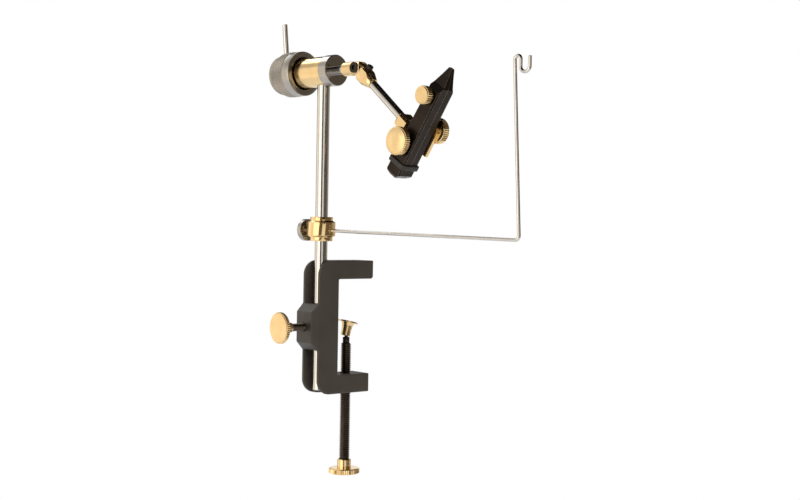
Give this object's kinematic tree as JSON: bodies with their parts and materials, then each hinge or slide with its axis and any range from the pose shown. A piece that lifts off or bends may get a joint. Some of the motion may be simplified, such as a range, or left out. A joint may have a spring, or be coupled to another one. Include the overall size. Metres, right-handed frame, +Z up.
{
  "type": "fly tying vise",
  "caption": "Table-clamp rotary fly tying vise: knurled rotary knob, elbowed arm, cam-closed angled jaws and a wire bobbin cradle on a steel post.",
  "frame": {"origin": "centre of the upper clamp arm's underside, the face that rests on the table", "axes": "+X into the table along the clamp's throat, +Z up along the post"},
  "size_m": [0.0797, 0.2436, 0.34],
  "materials": {
    "cast_black": "satin cast black",
    "black_oxide": "black oxide",
    "jaw_black": "black oxide, satin",
    "brass": "satin",
    "polished_brass": "polished",
    "bronze": "oiled bronze",
    "steel": "polished steel",
    "satin_steel": "satin steel",
    "spring_steel": "drawn",
    "black_rubber": "matte",
    "washer_black": "matte"
  },
  "bodies": {
    "clamp": {"clamp_frame": "cast_black"},
    "shoe": {"post_shoe": "brass"},
    "thumb_screw": {"post_screw": "black_oxide", "post_screw_knob": "brass"},
    "screw_end": {"swivel_ball": "black_oxide"},
    "clamp_screw": {"clamp_screw": "black_oxide", "clamp_knob": "polished_brass", "knob_pin": "satin_steel"},
    "pad": {"swivel_pad": "brass"},
    "post": {"post": "steel"},
    "cradle": {"cradle_collar": "polished_brass", "cradle_wire": "steel"},
    "cradle_lock": {"cradle_screw": "satin_steel", "cradle_knob": "satin_steel"},
    "head": {"head_barrel": "brass", "front_bush": "bronze", "rear_bush": "bronze", "front_washer": "washer_black", "rear_washer": "washer_black", "head_set_screw": "black_oxide"},
    "rotor": {"spindle": "steel", "front_collar": "satin_steel", "collar_set_screw": "black_oxide", "rear_knob": "satin_steel", "knob_set_screw": "black_oxide", "crank_rod": "steel", "crank_screw": "black_oxide", "hub": "brass", "pivot_screw": "black_oxide"},
    "arm": {"elbow": "brass", "elbow_set_screw": "black_oxide", "arm_rod": "steel", "knuckle": "brass", "knuckle_set_screw": "black_oxide", "lock_stud": "satin_steel"},
    "lock": {"lock_washer": "brass", "lock_knob": "brass"},
    "jaw": {"near_jaw": "jaw_black", "rocker_pin": "satin_steel", "rubber_band": "black_rubber", "jaw_spring": "spring_steel", "cam_shaft": "satin_steel"},
    "adjuster": {"adjust_screw": "satin_steel", "adjust_knob": "brass"},
    "rocking_jaw": {"far_jaw": "jaw_black"},
    "cam_seat": {"cam_washer": "brass"},
    "cam": {"cam_disc": "polished_brass", "cam_lever": "polished_brass"}
  },
  "joints": [
    {"name": "post_screw_travel", "type": "slide", "parent": "clamp", "child": "shoe", "axis": [-1, 0, 0], "range_m": [0, 0.00254]},
    {"name": "post_screw_turn", "type": "hinge", "parent": "shoe", "child": "thumb_screw", "pos_m": [-0.02577, 0, -0.0353], "axis": [-1, 0, 0], "range_deg": [-30, 750]},
    {"name": "post_height", "type": "slide", "parent": "clamp", "child": "post", "axis": [0, 0, 1], "range_m": [-0.014, 0.025]},
    {"name": "clamp_travel", "type": "slide", "parent": "clamp", "child": "screw_end", "axis": [0, 0, 1], "range_m": [-0.022, 0.03]},
    {"name": "clamp_screw_turn", "type": "hinge", "parent": "screw_end", "child": "clamp_screw", "pos_m": [-0.00097, 0, -0.1], "axis": [0, 0, 1], "range_deg": [-5700, 7750]},
    {"name": "pad_tilt", "type": "hinge", "parent": "screw_end", "child": "pad", "pos_m": [-0.00097, 0, -0.0396], "axis": [0, 1, 0], "range_deg": [-28, 1]},
    {"name": "cradle_swing", "type": "hinge", "parent": "post", "child": "cradle", "pos_m": [-0.02577, 0, 0.0371], "axis": [0, 0, 1], "range_deg": [-170, 170]},
    {"name": "cradle_lock_turn", "type": "hinge", "parent": "cradle", "child": "cradle_lock", "pos_m": [-0.02682, 0.00995, 0.0362], "axis": [-0.1045, 0.9945, 0], "range_deg": [0, 180]},
    {"name": "head_swivel", "type": "hinge", "parent": "post", "child": "head", "pos_m": [-0.02577, 0, 0.143], "axis": [0, 0, 1], "range_deg": [-90, 90]},
    {"name": "rotary_spin", "type": "hinge", "parent": "head", "child": "rotor", "pos_m": [-0.02577, 0, 0.1542], "axis": [0.1045, -0.9945, 0], "continuous": true},
    {"name": "arm_tilt", "type": "hinge", "parent": "rotor", "child": "arm", "pos_m": [-0.02191, -0.0368, 0.1542], "axis": [0.9945, 0.1045, 0], "range_deg": [-25, 25]},
    {"name": "jaw_tilt", "type": "hinge", "parent": "arm", "child": "jaw", "pos_m": [-0.01644, -0.08877, 0.09892], "axis": [0.9945, 0.1045, 0], "range_deg": [-8, 45]},
    {"name": "lock_knob_turn", "type": "hinge", "parent": "arm", "child": "lock", "pos_m": [-0.02738, -0.08992, 0.09892], "axis": [-0.9945, -0.1045, 0], "range_deg": [0, 180]},
    {"name": "adjust_knob_turn", "type": "hinge", "parent": "jaw", "child": "adjuster", "pos_m": [-0.023, -0.1125, 0.12932], "axis": [-0.9945, -0.1045, 0], "range_deg": [-180, 180]},
    {"name": "jaw_opening", "type": "hinge", "parent": "jaw", "child": "rocking_jaw", "pos_m": [-0.01698, -0.08372, 0.08428], "axis": [-0.087, 0.8274, 0.5548], "range_deg": [-0.1, 1.6]},
    {"name": "cam_lift", "type": "slide", "parent": "jaw", "child": "cam_seat", "axis": [0.9945, 0.1045, 0], "range_m": [0, 0.000975]},
    {"name": "cam_turn", "type": "hinge", "parent": "cam_seat", "child": "cam", "pos_m": [-0.00595, -0.10248, 0.10677], "axis": [-0.9945, -0.1045, 0], "range_deg": [-5, 105]}
  ],
  "couplings": [
    {"joint": "post_screw_turn", "follows": "post_screw_travel", "rad_per_m": 4947.4},
    {"joint": "clamp_screw_turn", "follows": "clamp_travel", "rad_per_m": 4453},
    {"joint": "cam_turn", "follows": "cam_lift", "rad_per_m": 1790.8},
    {"joint": "jaw_opening", "follows": "cam_lift", "rad_per_m": 26.862}
  ]
}
